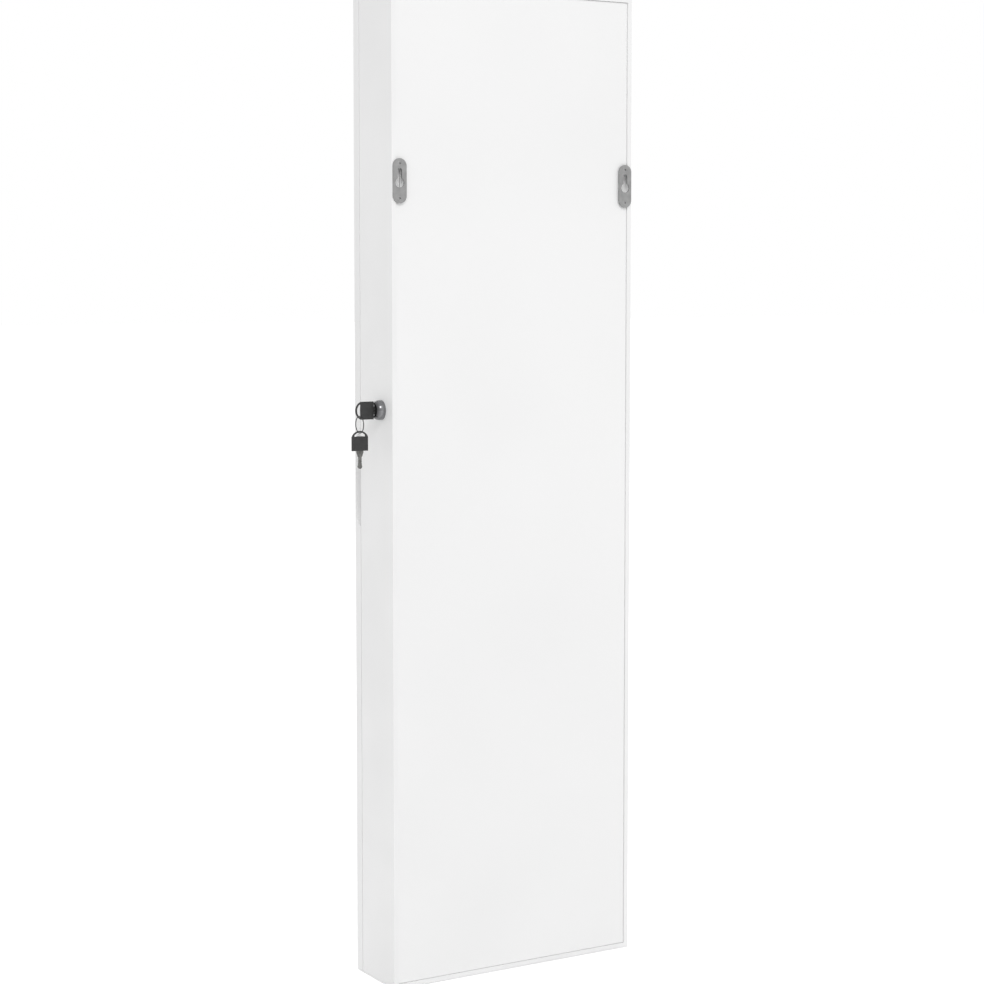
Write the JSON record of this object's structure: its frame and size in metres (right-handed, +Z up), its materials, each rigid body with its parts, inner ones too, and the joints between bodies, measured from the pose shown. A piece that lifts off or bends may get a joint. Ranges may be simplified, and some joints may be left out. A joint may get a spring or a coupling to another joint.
{
  "type": "jewelry mirror cabinet",
  "caption": "Tall wall-hung cabinet with a locking mirror door over shelves, ring rolls, necklace hooks and an earring plate; key and spare on a wire ring.",
  "frame": {"origin": "midway between the two keyhole hanger plates' entry holes, on the wall plane", "axes": "+Z up, mirror faces -Y, wall at y = 0, lock on the +X side, hinges on the -X side"},
  "size_m": [0.3397, 0.0865, 1.06],
  "materials": {
    "white_board": "satin melamine on fibreboard",
    "white_back": "satin foil on thin fibreboard",
    "white_door": "satin lacquer",
    "velvet_board": "short black velvet glued on board",
    "velvet_roll": "short black velvet over foam",
    "beech_dowel": "turned beech",
    "zinc_plate": "zinc-plated, satin grey",
    "nickel_steel": "nickel-plated",
    "chrome_bar": "polished",
    "chrome_lock": "polished",
    "key_steel": "nickel-plated, fine satin",
    "key_plastic": "moulded, fine matt",
    "brass_hook": "polished",
    "clear_acrylic": "clear, polished edges",
    "silver_mirror": "silvered float glass",
    "catch_plastic": "moulded white",
    "ferrite": "sintered, dull",
    "bumper_rubber": "soft, translucent"
  },
  "bodies": {
    "case": {"back_lining": "velvet_board", "back_panel": "white_back", "bracelet_bar": "chrome_bar", "bracelet_sockets": "chrome_bar", "case_bottom": "white_board", "case_side_left": "white_board", "case_side_right": "white_board", "case_top": "white_board", "catch_housing": "catch_plastic", "catch_magnet": "ferrite", "corner_dowels": "beech_dowel", "earring_plate": "clear_acrylic", "earring_stands": "clear_acrylic", "hanger_plate_left": "zinc_plate", "hanger_plate_right": "zinc_plate", "hanger_screws": "zinc_plate", "hinge_case_screws": "nickel_steel", "hinge_lower_case_leaf": "nickel_steel", "hinge_lower_pin": "nickel_steel", "hinge_middle_case_leaf": "nickel_steel", "hinge_middle_pin": "nickel_steel", "hinge_upper_case_leaf": "nickel_steel", "hinge_upper_pin": "nickel_steel", "hook_rail": "white_board", "lock_housing": "chrome_lock", "lock_nut": "nickel_steel", "necklace_hooks": "brass_hook", "ring_rolls": "velvet_roll", "ring_tray": "velvet_board", "shelf_lower": "white_board", "shelf_middle": "white_board", "shelf_rail_bottom": "chrome_bar", "shelf_rail_lower": "chrome_bar", "shelf_rail_middle": "chrome_bar", "shelf_upper": "white_board"},
    "door": {"door_stile_left": "white_door", "door_stile_right": "white_door", "door_rail_top": "white_door", "door_rail_bottom": "white_door", "door_beads": "white_door", "mirror": "silver_mirror", "door_backing": "velvet_board", "door_dowels": "beech_dowel", "door_bumpers": "bumper_rubber", "catch_plate": "nickel_steel", "lock_strike": "nickel_steel", "strike_screws": "nickel_steel", "hinge_door_screws": "nickel_steel", "hinge_lower_door_leaf": "nickel_steel", "hinge_middle_door_leaf": "nickel_steel", "hinge_upper_door_leaf": "nickel_steel"},
    "lock_core": {"lock_plug": "chrome_lock", "lock_cam": "nickel_steel", "cam_screw": "nickel_steel"},
    "key": {"key_blade": "key_steel", "key_bow": "key_plastic"},
    "ring": {"key_ring": "key_steel"},
    "spare_key": {"spare_key_blade": "key_steel", "spare_key_bow": "key_plastic"}
  },
  "joints": [
    {"name": "door_swing", "type": "hinge", "parent": "case", "child": "door", "pos_m": [-0.15245, -0.074, -0.3232], "axis": [0, 0, -1], "range_deg": [0, 170]},
    {"name": "lock_turn", "type": "hinge", "parent": "case", "child": "lock_core", "pos_m": [0.15, -0.0265, -0.2372], "axis": [1, 0, 0], "range_deg": [0, 90]},
    {"name": "key_pull", "type": "slide", "parent": "lock_core", "child": "key", "axis": [1, 0, 0], "range_m": [0, 0.025]},
    {"name": "ring_hang", "type": "hinge", "parent": "key", "child": "ring", "pos_m": [0.1756, -0.0265, -0.24513], "axis": [1, 0, 0], "range_deg": [-90, 0]},
    {"name": "spare_key_swing", "type": "hinge", "parent": "ring", "child": "spare_key", "pos_m": [0.1756, -0.0265, -0.26055], "axis": [0, 1, 0], "range_deg": [-60, 33]}
  ],
  "couplings": [
    {"joint": "ring_hang", "follows": "lock_turn", "ratio": -1}
  ]
}
